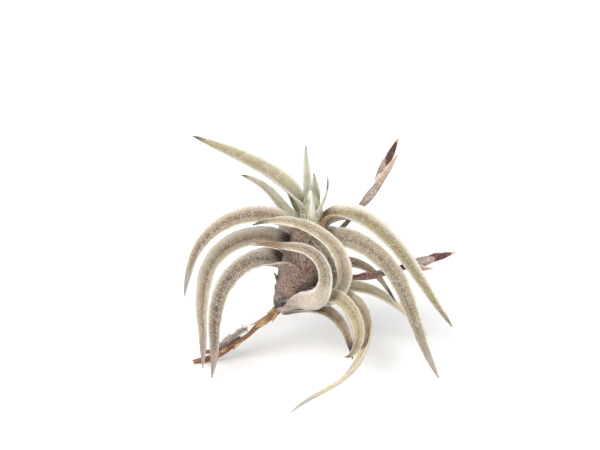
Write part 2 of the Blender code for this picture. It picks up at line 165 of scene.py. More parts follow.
# finish of a leaf: colours of its channel, underside, wrapped base, margins and dry tip (linear),
# cover and size of its silver scales, where the dry tip starts, the margin's share of the half width,
# and how dark the painted shade in the fold in the middle of the channel is
Finish = namedtuple("Finish", "face under base margin tip cover scale_mm tip_start margin_share crease")
FINISHES = {
    "lead": Finish((0.36, 0.31, 0.18), (0.44, 0.39, 0.27), (0.49, 0.47, 0.31),
        (0.80, 0.77, 0.62), (0.050, 0.036, 0.028), 0.72, 0.15, 0.95, 0.30, 0.22),
    "short": Finish((0.58, 0.57, 0.43), (0.66, 0.64, 0.51), (0.5, 0.5, 0.35),
        (0.76, 0.74, 0.64), (0.16, 0.13, 0.070), 0.80, 0.15, 0.93, 0.30, 0.30),
    "arch_tan": Finish((0.29, 0.21, 0.12), (0.28, 0.20, 0.12), (0.36, 0.26, 0.19),
        (0.82, 0.78, 0.68), (0.36, 0.31, 0.26), 0.74, 0.17, 0.84, 0.34, 0.55),
    "arch": Finish((0.40, 0.32, 0.20), (0.38, 0.29, 0.18), (0.27, 0.18, 0.14),
        (0.80, 0.76, 0.66), (0.38, 0.32, 0.27), 0.80, 0.17, 0.84, 0.34, 0.55),
    "arch_brown": Finish((0.21, 0.15, 0.090), (0.20, 0.14, 0.088), (0.31, 0.20, 0.15),
        (0.78, 0.73, 0.63), (0.36, 0.29, 0.24), 0.76, 0.17, 0.84, 0.30, 0.60),
    "curl": Finish((0.47, 0.39, 0.26), (0.7, 0.65, 0.52), (0.5, 0.42, 0.35),
        (0.86, 0.84, 0.74), (0.045, 0.030, 0.022), 0.74, 0.13, 0.95, 0.46, 0.42),
    "curl_low": Finish((0.31, 0.24, 0.15), (0.56, 0.48, 0.39), (0.52, 0.42, 0.36),
        (0.84, 0.80, 0.70), (0.26, 0.13, 0.045), 0.76, 0.14, 0.86, 0.42, 0.42),
    "inner": Finish((0.15, 0.11, 0.075), (0.22, 0.17, 0.12), (0.15, 0.10, 0.080),
        (0.66, 0.60, 0.50), (0.16, 0.10, 0.050), 0.60, 0.14, 0.85, 0.22, 0.50),
    "hook": Finish((0.43, 0.355, 0.205), (0.43, 0.355, 0.23), (0.46, 0.38, 0.29),
        (0.84, 0.79, 0.66), (0.16, 0.10, 0.060), 0.66, 0.13, 0.96, 0.24, 0.40),
    "long": Finish((0.54, 0.43, 0.29), (0.58, 0.48, 0.33), (0.36, 0.27, 0.2),
        (0.60, 0.54, 0.42), (0.42, 0.38, 0.33), 0.76, 0.17, 0.84, 0.22, 0.45),
    "tucked": Finish((0.36, 0.26, 0.16), (0.32, 0.23, 0.15), (0.15, 0.093, 0.071),
        (0.62, 0.56, 0.44), (0.060, 0.028, 0.022), 0.62, 0.15, 0.82, 0.24, 0.50),
    "right_tan": Finish((0.29, 0.23, 0.098), (0.31, 0.21, 0.085), (0.40, 0.26, 0.13),
        (0.84, 0.80, 0.72), (0.22, 0.15, 0.10), 0.70, 0.15, 0.95, 0.50, 0.25),
    "right": Finish((0.29, 0.23, 0.14), (0.28, 0.20, 0.12), (0.34, 0.27, 0.17),
        (0.76, 0.70, 0.56), (0.38, 0.33, 0.28), 0.74, 0.16, 0.86, 0.28, 0.50),
    "pale": Finish((0.68, 0.61, 0.42), (0.68, 0.62, 0.44), (0.52, 0.45, 0.33),
        (0.84, 0.80, 0.64), (0.34, 0.29, 0.20), 0.66, 0.15, 0.88, 0.36, 0.35),
    "young": Finish((0.60, 0.62, 0.50), (0.68, 0.68, 0.58), (0.57, 0.59, 0.41),
        (0.88, 0.88, 0.80), (0.36, 0.34, 0.26), 0.82, 0.12, 0.95, 0.36, 0.30),
    "thin": Finish((0.53, 0.48, 0.35), (0.57, 0.54, 0.41), (0.55, 0.53, 0.37),
        (0.84, 0.81, 0.70), (0.10, 0.060, 0.040), 0.70, 0.12, 0.74, 0.36, 0.40),
    "green": Finish((0.24, 0.31, 0.13), (0.41, 0.44, 0.26), (0.48, 0.50, 0.34),
        (0.84, 0.85, 0.74), (0.34, 0.32, 0.20), 0.45, 0.12, 0.92, 0.30, 0.50),
    "rear": Finish((0.47, 0.38, 0.24), (0.46, 0.36, 0.24), (0.26, 0.17, 0.13),
        (0.80, 0.76, 0.66), (0.32, 0.25, 0.18), 0.78, 0.17, 0.86, 0.32, 0.45),
    "rear_tan": Finish((0.48, 0.38, 0.22), (0.43, 0.33, 0.18), (0.26, 0.17, 0.12),
        (0.80, 0.75, 0.63), (0.24, 0.17, 0.11), 0.72, 0.17, 0.88, 0.32, 0.45),
    "core": Finish((0.17, 0.11, 0.084), (0.16, 0.096, 0.078), (0.24, 0.16, 0.12),
        (0.40, 0.33, 0.28), (0.20, 0.14, 0.11), 0.62, 0.20, 0.97, 0.04, 0.00),
    "sheath": Finish((0.28, 0.18, 0.14), (0.26, 0.165, 0.125), (0.31, 0.20, 0.15),
        (0.50, 0.41, 0.37), (0.34, 0.24, 0.19), 0.70, 0.20, 0.97, 0.14, 0.00),
    "blush": Finish((0.24, 0.155, 0.125), (0.25, 0.165, 0.135), (0.16, 0.095, 0.078),
        (0.66, 0.57, 0.55), (0.20, 0.12, 0.12), 0.72, 0.19, 0.96, 0.20, 0.00),
    "old_sheath": Finish((0.19, 0.13, 0.095), (0.19, 0.13, 0.095), (0.24, 0.16, 0.12),
        (0.40, 0.32, 0.26), (0.16, 0.11, 0.080), 0.50, 0.16, 0.86, 0.12, 0.00),
    "husk": Finish((0.10, 0.075, 0.050), (0.10, 0.080, 0.052), (0.080, 0.055, 0.038),
        (0.24, 0.19, 0.13), (0.050, 0.038, 0.028), 0.40, 0.22, 0.80, 0.12, 0.00),
    "mauve": Finish((0.30, 0.19, 0.16), (0.28, 0.18, 0.15), (0.26, 0.17, 0.13),
        (0.66, 0.54, 0.48), (0.10, 0.040, 0.040), 0.40, 0.12, 0.86, 0.34, 0.00),
    "dusty": Finish((0.30, 0.24, 0.19), (0.31, 0.24, 0.20), (0.25, 0.21, 0.15),
        (0.76, 0.69, 0.64), (0.22, 0.14, 0.12), 0.60, 0.12, 0.92, 0.46, 0.00),
    "rose": Finish((0.26, 0.14, 0.11), (0.25, 0.13, 0.10), (0.30, 0.17, 0.13),
        (0.76, 0.62, 0.56), (0.10, 0.040, 0.035), 0.20, 0.12, 0.88, 0.40, 0.00),
    "blush_bract": Finish((0.36, 0.27, 0.23), (0.36, 0.27, 0.24), (0.34, 0.17, 0.13),
        (0.82, 0.73, 0.68), (0.14, 0.060, 0.050), 0.40, 0.12, 0.90, 0.50, 0.00),
    "tan_bract": Finish((0.44, 0.31, 0.22), (0.44, 0.31, 0.22), (0.34, 0.26, 0.19),
        (0.86, 0.77, 0.70), (0.40, 0.25, 0.14), 0.35, 0.12, 0.94, 0.52, 0.00),
    "maroon": Finish((0.095, 0.034, 0.030), (0.085, 0.030, 0.028), (0.16, 0.085, 0.070),
        (0.50, 0.34, 0.28), (0.50, 0.33, 0.20), 0.05, 0.12, 0.88, 0.34, 0.00),
    "stalk": Finish((0.26, 0.22, 0.15), (0.24, 0.20, 0.14), (0.24, 0.19, 0.13),
        (0.28, 0.24, 0.17), (0.28, 0.20, 0.16), 0.66, 0.19, 0.98, 0.02, 0.00),
}
# painted light: blades painted paler on one side of the fold, where the light falls on them: plus for the
# side past it, minus for the near one
PAINTED_LIT_SIDE = {"lead": -0.4, "arch_tan": -0.6, "arch": -0.7, "arch_brown": -0.5,
             "right_tan": 0.65, "right": 0.3}
SPIKE_FINISHES = ("mauve", "dusty", "rose", "blush_bract", "tan_bract", "maroon", "stalk")
SCALE_COLOUR = (0.78, 0.76, 0.69, 1.0)
GREY = (0.5, 0.5, 0.5, 1.0)
# woody finishes: colours of the wood, its shaded grooves, its joints and the dust on it, how much dust
Bark = namedtuple("Bark", "label wood shade joint dust_colour dust bump_mm sheen")
BARKS = {
    "bark": Bark("stem_bark", (0.42, 0.17, 0.070), (0.13, 0.045, 0.028), (0.50, 0.40, 0.17),
        (0.7, 0.65, 0.6), 0.22, 0.12, 0.1),
    "slip": Bark("bark_slip", (0.58, 0.30, 0.13), (0.27, 0.11, 0.065), (0.56, 0.44, 0.22),
        (0.7, 0.65, 0.6), 0.5, 0.08, 0.1),
    "root": Bark("root_bark", (0.26, 0.12, 0.07), (0.10, 0.045, 0.03), (0.30, 0.20, 0.12),
        (0.7, 0.65, 0.6), 0.4, 0.08, 0.1),
    "fuzz": Bark("root_fuzz", (0.60, 0.53, 0.46), (0.17, 0.10, 0.075), (0.58, 0.50, 0.42),
        (0.85, 0.83, 0.80), 0.8, 0.05, 0.5),
}
# colours that darken the skin where they are mixed in; the shade and crease tints are painted shade in the
# fold of the channel
STAIN_TINT = (0.60, 0.42, 0.28, 1.0)
PIT_TINT = (0.15, 0.11, 0.090, 1.0)
STREAK_TINT = (0.52, 0.42, 0.30, 1.0)
SHADE_TINT = (0.62, 0.50, 0.38, 1.0)
PAINTED_CREASE_SHADE_TINT = (0.34, 0.24, 0.15, 1.0)
TIP_TINT = (0.6, 0.5, 0.4, 1.0)
CRACK_TINT = (0.35, 0.24, 0.16, 1.0)
STAIN_SCALE, MOTTLE_SCALE = 420.0, 1500.0       # noise on the skin, cells in a metre
PATCH_SCALE, GRAIN_SCALE = 520.0, 2600.0        # noise on the bark
PIT_PER_MM = 2.7         # dark pits on the wrapped bases, along a millimetre
SKIN_BUMP_MM = 0.06
LEAF_SHEEN, SPIKE_SHEEN = 0.25, 0.08

# loose sheath scales lying over the core; start and end: parts of the way up it; span: degrees round it
Shield = namedtuple("Shield", "name start end heading span lift thick ragged finish slot node")
SHIELDS = [
    Shield("old_left_sheath", 0.02, 0.38, 186, 84, 0.34, 0.22, 0.7,
           "old_sheath", "dry_sheath", "sheath_old_left"),
    Shield("broad_front_sheath", 0.16, 0.92, 256, 100, 0.02, 0.26, 0.2,
           "sheath", "sheath", "sheath_broad_front"),
    Shield("old_back_sheath", 0.02, 0.44, 112, 96, 0.40, 0.26, 0.7,
           "old_sheath", "dry_sheath", "sheath_old_back"),
    Shield("upper_front_sheath", 0.50, 0.99, 282, 80, 0.14, 0.26, 0.2, "sheath", "sheath", None),
    Shield("inner_front_sheath", 0.10, 0.60, 304, 90, 0.10, 0.30, 0.2, "blush", "sheath", None),
    Shield("low_front_sheath", 0.01, 0.26, 236, 96, 0.50, 0.22, 0.6, "husk", "dry_sheath", None),
]
SHIELD_SIDES, SHIELD_RINGS = 56, 48

# dry flower spikes; seat, heading, sweep and pitch as for a leaf; radius at root and tip, mm
Spike = namedtuple("Spike", "name seat heading sweep pitch length radius node")
SPIKES = [
    Spike("upper_spike_stalk", 0.76, 16, 6, (40, 44, 54, 64, 66), 25.4, (0.52, 0.24),
          "spike_upper_stalk"),
    Spike("side_spike_stalk", 0.57, 5, 11, (-40, 8, 8, 13, 22), 27.8, (0.50, 0.22),
          "spike_side_stalk"),
]
# spike: which of the two; start: part of the way along the stalk; turn: degrees round the stalk from its
# upper side; lean: degrees off the stalk; wrap: half of the angle that the section turns through
Bract = namedtuple("Bract", "name spike start turn lean length width wrap finish slot")
BRACTS = [
    Bract("upper_bract_1", 0, 0.38, -58, 3, 10.4, 1.90, 2.00, "dusty", "mauve_bract"),
    Bract("upper_bract_2", 0, 0.58, -118, 4, 8.8, 2.00, 1.90, "tan_bract", "tan_bract"),
    Bract("upper_bract_3", 0, 0.66, 20, 5, 6.6, 1.60, 2.00, "mauve", "mauve_bract"),
    Bract("upper_bract_4", 0, 0.80, -70, 0, 6.4, 1.50, 2.00, "maroon", "maroon_bract"),
    Bract("side_bract_1", 1, 0.07, -60, 2, 5.0, 1.80, 2.00, "blush_bract", "mauve_bract"),
    Bract("side_bract_2", 1, 0.24, -100, 2, 7.6, 1.70, 2.00, "rose", "mauve_bract"),
    Bract("side_bract_3", 1, 0.46, -70, 2, 7.0, 1.60, 2.00, "maroon", "maroon_bract"),
    Bract("side_bract_4", 1, 0.62, -40, 3, 9.2, 2.50, 2.00, "blush_bract", "mauve_bract"),
    Bract("side_bract_5", 1, 0.66, 236, 26, 5.0, 1.80, 1.70, "tan_bract", "tan_bract"),
    Bract("side_bract_6", 1, 0.76, -112, 4, 7.4, 1.90, 2.00, "maroon", "maroon_bract"),
]
BRACT_SIDES, BRACT_RINGS = 32, 36
STALK_SIDES, STALK_RINGS = 20, 90

# dry wiry stem and what hangs on it: points (x, y, z, radius) in mm
STEM = [(-4.5, 0.0, 12.1, 1.25), (-5.2, -0.1, 11.2, 1.05), (-6.6, -0.2, 9.9, 0.95),
        (-7.8, -0.3, 9.05, 1.0), (-9.0, -0.3, 7.95, 0.72), (-10.4, -0.4, 6.4, 0.62),
        (-12.4, -0.5, 4.85, 0.60), (-14.5, -0.5, 3.2, 0.58), (-16.3, -0.4, 1.75, 0.66),
        (-18.1, -0.4, 0.95, 0.80), (-20.2, -1.3, 0.80, 0.74), (-22.0, -1.7, 0.60, 0.50)]
ROOT = [(-12.4, 0.85, 4.9, 0.36), (-14.5, 1.5, 3.15, 0.42), (-16.7, 2.1, 1.55, 0.42),
        (-18.6, 2.5, 0.7, 0.40), (-20.3, 2.8, 0.42, 0.32)]
TUFT = [(-11.0, 0.5, 7.2, 0.25), (-12.2, 0.8, 6.5, 0.50), (-13.6, 0.9, 5.3, 0.50),
        (-14.6, 1.0, 4.6, 0.70), (-15.9, 1.0, 3.6, 0.50), (-16.9, 0.9, 2.8, 0.20)]
STUB = [(-4.6, -0.8, 18.9, 0.20), (-4.8, -0.9, 19.5, 0.32), (-4.9, -0.9, 20.1, 0.30),
        (-5.2, -1.0, 20.8, 0.15)]
# finer strands along the stem: place round it at the top in radians, radius in mm, twist, and the parts
# of the stem where each starts and ends
STEM_STRANDS = [(0.4, 0.22, 0.2, 0.03, 0.95), (2.2, 0.17, 0.5, 0.30, 1.0),
                (3.9, 0.20, -0.3, 0.22, 0.97), (5.2, 0.16, 0.7, 0.00, 0.80)]
# slips of bark: mm down the stem, place round it in radians, length in mm
SLIPS = [(0.3, 4.4, 1.8), (0.7, 5.8, 2.2), (0.9, 2.6, 2.0), (2.2, 0.9, 2.6), (3.6, 3.4, 2.4),
         (4.9, 5.2, 2.2), (7.4, 0.2, 2.0), (10.6, 2.4, 2.4), (13.8, 4.4, 2.2), (16.6, 1.2, 2.2)]
SLIP_SIDES, SLIP_RINGS = 14, 12
STEM_RINGS, ROOT_RINGS, TUFT_RINGS, STUB_RINGS, PAINTED_SHADOW_RINGS = 120, 60, 40, 24, 40
FRAYED_FIBRES, ROOTLETS, TUFT_HAIRS, STUB_THREADS = 9, 16, 420, 8
STEM_CORE_SHARE = 0.74   # the main strand's part of the stem's girth

# painted shadow: dark strand along the edge over the body's front, standing in for the shadow line there:
# (seat, heading) at its two ends
PAINTED_SHADOW_START = (0.12, 234.0)
PAINTED_SHADOW_END = (0.50, 325.0)

GROOVES = 7.0            # round a strand
KNOT_AT = 4.6            # mm down the stem to the middle of its pale knot
KNOT_REACH = 1.5
SLIP_REST = 0.18         # mm above the surface at which a slip of bark lies flat on it

# camera and light
CAMERA_SPOT = Vector((-4.5, -297.4, 170.5))
CAMERA_AIM = Vector((-4.5, 1.7, 31.0))
CAMERA_LENS = 99.0
WORLD_STRENGTH = 0.75
# name, place and width in metres, power in watts
LIGHTS = [("key_light", (-0.45, -0.55, 0.75), 0.7, 9.0), ("fill_light", (0.60, -0.40, 0.40), 0.8, 3.0)]
FLOOR_SIZE = 3.0         # half of its width, metres
FLOOR_COLOUR = (0.90, 0.90, 0.90, 1.0)

random.seed(11)


def to_metres(point):
    return (point + SHIFT) * 0.001


def blend(table, place):
    """Straight-line value from (place, value) pairs."""
    for (a, low), (b, high) in zip(table, table[1:]):
        if place <= b:
            return low + (high - low) * (place - a) / (b - a)
    return table[-1][1]


def ease(low, high, value):
    """0 below low, 1 above high, smooth between."""
    t = max(0.0, min(1.0, (value - low) / (high - low)))
    return t * t * (3.0 - 2.0 * t)


def drift(place, seed):
    """Slow wandering value from about -1 to 1."""
    return noise.noise(Vector((place, seed * 7.31, seed * 1.7)))


def spoke(across, outward, angle):
    """Direction square to a line, turned round it from across towards outward."""
    return across * math.cos(angle) + outward * math.sin(angle)


def ring_spot(point, across, outward, radius, angle):
    """Point on a round section."""
    return point + across * (radius * math.cos(angle)) + outward * (radius * math.sin(angle))


def core_axis(seat):
    """Point on the core's bent axis."""
    rest = 1.0 - seat
    return CORE_FOOT * rest * rest + CORE_BEND * 2.0 * rest * seat + CORE_CROWN * seat * seat


def core_rim(seat, heading, clear):
    """Point at a distance clear of the core's skin, square to its axis."""
    ahead = (core_axis(min(1.0, seat + 0.01)) - core_axis(max(0.0, seat - 0.01))).normalized()
    side = Vector((0, 1, 0))
    out = side.cross(ahead) * math.cos(heading) + side * math.sin(heading)
    return core_axis(seat) + out * (blend(CORE_GIRTH, seat) + clear)


# ---- meshes -------------------------------------------------------------------------------------------

def new_body():
    """An empty mesh that carries a millimetre UV map and the place of each vertex on its leaf."""
    body = bmesh.new()
    body.loops.layers.uv.new("skin_mm")
    body.verts.layers.float_color.new("place")
    return body


def add_tube(body, sides, rings):
    """A closed cylinder primitive cut into rings; gives its vertices with their (ring, angle)."""
    before = len(body.verts)
    bmesh.ops.create_cone(body, cap_ends=True, cap_tris=False, segments=sides,
                          radius1=1.0, radius2=1.0, depth=rings - 1.0)
    body.verts.ensure_lookup_table()
    made = set(body.verts[before:])
    uprights = [edge for edge in body.edges
                if edge.verts[0] in made and abs(edge.verts[0].co.z - edge.verts[1].co.z) > 0.5]
    bmesh.ops.subdivide_edges(body, edges=uprights, cuts=rings - 2, use_grid_fill=True)
    body.verts.ensure_lookup_table()
    return [(vert, round(vert.co.z + (rings - 1) / 2.0), math.atan2(vert.co.y, vert.co.x))
            for vert in body.verts[before:]]


def shape_tube(body, sides, rings, place_vertex):
    """Move a ringed cylinder's vertices: place_vertex gives the point, its UV in mm and its place."""
    layer_uv = body.loops.layers.uv["skin_mm"]
    layer_place = body.verts.layers.float_color["place"]
    flat = {}
    for vert, ring, angle in add_tube(body, sides, rings):
        point, uv, place = place_vertex(ring, angle)
        vert.co = to_metres(point)
        vert[layer_place] = place
        flat[vert] = uv
    body.faces.ensure_lookup_table()
    faces = [face for face in body.faces if face.verts[0] in flat]
    for face in faces:
        for loop in face.loops:
            loop[layer_uv].uv = flat[loop.vert]
    return faces


def turn_out(body):
    """Turn a closed mesh the right way out by the sign of its volume."""
    if body.calc_volume(signed=True) < 0.0:
        bmesh.ops.reverse_faces(body, faces=body.faces[:])


def face_out(body):
    """Make the faces of a closed mesh agree, and point outwards."""
    bmesh.ops.recalc_face_normals(body, faces=body.faces[:])
    turn_out(body)


def add_object(name, data):
    thing = bpy.data.objects.new(name, data)
    bpy.context.scene.collection.objects.link(thing)
    return thing


def finish_piece(name, body, finish, slot, *nodes):
    """Make the mesh an object with its material, and say what it rides on and replaces."""
    for face in body.faces:
        face.smooth = True
    mesh = bpy.data.meshes.new(name)
    body.to_mesh(mesh)
    body.free()
    mesh.materials.append(MATERIALS[finish])
    thing = add_object(name, mesh)
    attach(thing, "root")
    if nodes:
        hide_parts(*nodes)


def tube_piece(name, sides, rings, place_vertex, finish, slot, *nodes):
    """A piece that is one closed tube."""
    body = new_body()
    shape_tube(body, sides, rings, place_vertex)
    turn_out(body)
    finish_piece(name, body, finish, slot, *nodes)


def walk(seat, heading, sweep, pitch, length):
    """Middle line of a blade or stalk: (point, level side direction, distance from the root)."""
    around = math.radians(heading)
    point = core_rim(seat, around, LEAF_GAP)
    slopes = [(i / (len(pitch) - 1), math.radians(value)) for i, value in enumerate(pitch)]
    line = []
    for step in range(LINE_STEPS + 1):
        place = step / LINE_STEPS
        turn = around + math.radians(sweep) * place
        slope = blend(slopes, place)
        flat = Vector((math.cos(turn), math.sin(turn), 0.0))
        line.append((point.copy(), Vector((-flat.y, flat.x, 0.0)), length * place))
        point = point + (flat * math.cos(slope) + Vector((0, 0, math.sin(slope)))) * (length / LINE_STEPS)
    return line


def base_line(leaf):
    """Middle line of the wrapped base below a blade, bottom first."""
    low = max(0.0, leaf.seat - leaf.reach / CORE_LENGTH)
    span = (leaf.seat - low) * CORE_LENGTH
    line = []
    for step in range(BASE_STEPS):
        grown = step / BASE_STEPS
        around = math.radians(leaf.heading + leaf.turn * (1.0 - ease(0.35, 1.0, grown)))
        clear = BASE_TUCK + (LEAF_GAP - BASE_TUCK) * grown + leaf.lift * math.sin(math.pi * grown)
        point = core_rim(low + (leaf.seat - low) * grown, around, clear)
        line.append((point, Vector((-math.sin(around), math.cos(around), 0.0)), -span * (1.0 - grown)))
    return line


def resample(line, rings):
    """The same line at evenly spaced distances."""
    start, end = line[0][2], line[-1][2]
    result = []
    index = 0
    for ring in range(rings):
        goal = start + (end - start) * ring / (rings - 1)
        while index < len(line) - 2 and line[index + 1][2] < goal:
            index += 1
        (p, a, v), (q, b, w) = line[index], line[index + 1]
        t = (goal - v) / max(1e-6, w - v)
        result.append([p.lerp(q, t), a.lerp(b, t), goal])
    return result


def smooth_line(line, passes, low, high):
    """Average each point with its neighbours between two distances, keeping the ends."""
    for _ in range(passes):
        spots = [row[0].copy() for row in line]
        for i in range(1, len(line) - 1):
            if low <= line[i][2] <= high:
                line[i][0] = (spots[i - 1] + spots[i] * 2.0 + spots[i + 1]) * 0.25


def directions(line):
    """(point, along, across, outward, distance) for each row of a line."""
    result = []
    for i, (point, across, distance) in enumerate(line):
        along = (line[min(len(line) - 1, i + 1)][0] - line[max(0, i - 1)][0]).normalized()
        side = (across - along * across.dot(along)).normalized()
        result.append((point, along, side, along.cross(side), distance))
    return result


def channel_point(frame_row, width, bend, sag, roll, thick, u, skin):
    """Point on a channelled section, and the way its channel faces there.

    u runs from margin to margin, skin from underside to channel.
    """
    point, _, across, outward, _ = frame_row
    face = outward * math.cos(roll) - across * math.sin(roll)
    side = spoke(across, outward, roll)
    radius = width / (2.0 * math.sin(bend))
    lean = bend * u
    middle = point + side * (radius * math.sin(lean)) + face * (radius * (1.0 - math.cos(lean)) - sag)
    normal = face * math.cos(lean) - side * math.sin(lean)
    return middle + normal * (0.5 * thick * skin), normal


def append_body(body, extra):
    """Add another mesh's faces, layers included, and clear it away."""
    mesh = bpy.data.meshes.new("part")
    extra.to_mesh(mesh)
    extra.free()
    body.from_mesh(mesh)
    bpy.data.meshes.remove(mesh)


def add_fringe(body, place_vertex, rows):
    """Tiny pale hairs that stand off both margins of a blade."""
    fringe = new_body()
    spacing = rows[1][4] - rows[0][4]
    for ring in range(2, LEAF_RINGS - 3):
        if rows[ring][4] < 1.0:
            continue
        for angle in (0.0, math.pi):
            for _ in range(max(1, round(spacing / FRINGE_STEP))):
                edge_point, _, place = place_vertex(ring, angle)
                inner_point, _, _ = place_vertex(ring, math.pi / 2.0)
                next_point, _, _ = place_vertex(ring + 1, angle)
                start = edge_point.lerp(next_point, random.random())
                out = (edge_point - inner_point).normalized()
                ahead = (next_point - edge_point).normalized()
                heading = (out + ahead * random.uniform(-0.2, 0.9)).normalized()
                length = random.uniform(*HAIR_LENGTH)
                turn = Vector((0, 0, 1)).rotation_difference(heading).to_matrix().to_4x4()
                turn.translation = to_metres(start + heading * (length * 0.42))
                hair = bmesh.ops.create_cone(fringe, cap_ends=True, cap_tris=False, segments=3,
                                             radius1=HAIR_ROOT, radius2=HAIR_TIP,
                                             depth=length * 0.001, matrix=turn)
                for vert in hair["verts"]:
                    vert[fringe.verts.layers.float_color["place"]] = place
        if len(fringe.verts) > FRINGE_BATCH:
            append_body(body, fringe)
            fringe = new_body()
    append_body(body, fringe)


def build_leaf(leaf, index):
    """A blade with its channel, thin wavy margins, creased middle, withered tip and wrapped base."""
    line = resample(base_line(leaf) + walk(leaf.seat, leaf.heading, leaf.sweep, leaf.pitch, leaf.length),
                    LEAF_RINGS)
    smooth_line(line, ROOT_SMOOTHING, -3.0, 4.0)
    smooth_line(line, LINE_SMOOTHING, -leaf.reach, leaf.length)
    rows = directions(line)
    roll_full = math.radians(leaf.roll)
    seed = index + 1.0
    turned = TURNED_OVER.get(leaf.name)

    def place_vertex(ring, angle):
        row = rows[ring]
        v = row[4]
        s = max(0.0, v / leaf.length)
        # 1, or -1 where a blade has turned over
        facing = 1.0 - 2.0 * (ease(*turned, v) if turned else 0.0)
        flare = 1.0 - ease(-FLARE_BELOW, leaf.flare, v)
        seat = leaf.seat + min(0.0, v) / CORE_LENGTH
        hug = blend(CORE_GIRTH, max(0.0, seat)) + 0.3
        base = min(leaf.base, 1.9 * hug) * (0.80 + 0.20 * ease(-leaf.reach, -0.4 * leaf.reach, v))
        blade = leaf.width * max(0.0, 1.0 - s * s) ** 0.7
        wither = ease(0.80, 1.0, s)
        width = (blade * (1.0 - flare) + base * flare) * (1.0 + 0.07 * drift(v * 0.35, seed))
        width = max(TIP_WIDTH, width)
        if turned:
            width *= 1.0 + SHEATH_BULGE * math.exp(-((v - 0.85 * turned[0]) / 4.2) ** 2)
        bend = BLADE_BEND * (1.0 - flare) + math.asin(min(0.96, base / (2.0 * hug))) * flare
        bend = bend * (1.0 + 0.06 * drift(v * 0.22, seed + 9.0)) + 0.25 * wither
        opened = ease(0.15 * leaf.flare, 1.15 * leaf.flare, v)
        if turned:
            bend *= facing
            bend = math.copysign(max(FLATTEST, abs(bend)), bend)
            opened = ease(0.0, 7.0, v)
        roll = (roll_full + 0.10 * drift(v * 0.12, seed + 3.0)) * opened
        u, rise = math.cos(angle), math.sin(angle)
        edge = abs(u)
        thick = (BLADE_THICK * width * (1.0 - flare) + BASE_THICK * flare) * (1.0 - 0.72 * edge ** 3)
        skin = math.copysign(abs(rise) ** SECTION_FULLNESS, rise) if abs(rise) > 1e-6 else 0.0
        sag = 0.5 * CUP * width * (1.0 - flare) * facing
        point, normal = channel_point(row, width, bend, sag, roll, max(THINNEST, thick), u, skin)
        # the middle of the channel is creased, the margins wander, and the skin is faintly ribbed
        crease = CREASE_DEPTH * width * math.exp(-(u / CREASE_HALF) ** 2) * (1.0 - flare)
        ripple = MARGIN_RIPPLE * width * edge ** 3 * drift(v * 0.8 + math.copysign(20.0, u), seed + 5.0)
        ribs = RIB_HEIGHT * width * math.sin(u * RIB_PACE + 0.6 * drift(v * 0.5, seed)) * (1.0 - edge ** 4)
        pucker = TIP_PUCKER * width * wither * drift(v * 1.9 + u * 3.0, seed + 2.0)
        point = point - normal * ((crease - ripple - ribs - pucker) * facing)
        arc = bend * u * width / (2.0 * math.sin(bend))
        return point, (arc, v), (s, edge, 0.5 + 0.5 * skin * facing, flare)

    body = new_body()
    shape_tube(body, LEAF_SIDES, LEAF_RINGS, place_vertex)
    turn_out(body)
    add_fringe(body, place_vertex, rows)
    nodes = () if leaf in HEART_LEAVES else ("leaf_" + leaf.name,)
    finish_piece(leaf.name + "_leaf", body, leaf.finish, leaf.slot, *nodes)


def build_core():
    """The core, faintly ribbed and lumpy where leaf bases are packed on it."""
    def place_vertex(ring, angle):
        seat = ring / (CORE_RINGS - 1)
        lump = 0.16 * noise.noise(Vector((math.cos(angle) * 1.6, math.sin(angle) * 1.6, seat * 5.0)))
        rib = 0.03 * math.sin(angle * 26.0 + seat * 5.0)
        point = core_rim(seat, angle, (lump + rib) * ease(0.0, 0.1, seat) * (1.0 - ease(0.9, 1.0, seat)))
        reach = blend(CORE_GIRTH, seat) * angle
        return point, (reach, seat * CORE_LENGTH), (0.5, 0.0, 0.0, 1.0 - ease(0.75, 0.98, seat))

    tube_piece("wrapped_core", CORE_SIDES, CORE_RINGS, place_vertex, "core", "sheath", "leaf_core")


def build_shield(shield, index):
    """A loose leaf sheath over the core: broad, thin edged, ribbed, with an uneven top."""
    seed = 40.0 + index

    def place_vertex(ring, angle):
        place = ring / (SHIELD_RINGS - 1)
        u = math.cos(angle)
        edge = abs(u)
        tear = 0.05 * shield.ragged * drift(u * 6.0, seed) * ease(0.5, 1.0, place)
        seat = shield.start + (shield.end - shield.start) * (place + tear)
        spread = (0.72 + 0.28 * ease(0.0, 0.35, place)) * max(0.0, 1.0 - place ** 2.6) ** 0.55
        half = math.radians(shield.span) / 2.0 * max(0.02, spread)
        half *= 1.0 + 0.06 * shield.ragged * drift(place * 9.0 + math.copysign(4.0, u), seed)
        around = math.radians(shield.heading) + half * u
        skin = 0.5 + 0.5 * math.sin(angle)
        lift = shield.lift + 0.22 * edge ** 4 * (0.6 + drift(place * 4.0 + math.copysign(9.0, u), seed))
        lift += 0.25 * shield.ragged * ease(0.75, 1.0, place)
        lift += 0.02 * math.sin(u * 30.0) * (1.0 - edge) + 0.05 * drift(place * 3.0 + u, seed + 2.0)
        thick = shield.thick * (1.0 - 0.75 * edge ** 3) * (1.0 - 0.6 * ease(0.7, 1.0, place))
        seat = max(0.0, min(1.0, seat))
        point = core_rim(seat, around, lift + thick * skin)
        arc = half * u * blend(CORE_GIRTH, seat)
        return point, (arc, seat * CORE_LENGTH), (place, edge, 1.0 - skin, 1.0)

    nodes = (shield.node,) if shield.node else ()
    tube_piece(shield.name, SHIELD_SIDES, SHIELD_RINGS, place_vertex, shield.finish, shield.slot, *nodes)


# ---- flower spikes ------------------------------------------------------------------------------------

def spike_rows(spike):
    """The stalk's middle line with its directions."""
    line = resample(walk(spike.seat, spike.heading, spike.sweep, spike.pitch, spike.length), STALK_RINGS)
    smooth_line(line, LINE_SMOOTHING, 0.0, spike.length)
    return directions(line)


def spike_radius(spike, place):
    root, tip = spike.radius
    return root + (tip - root) * place


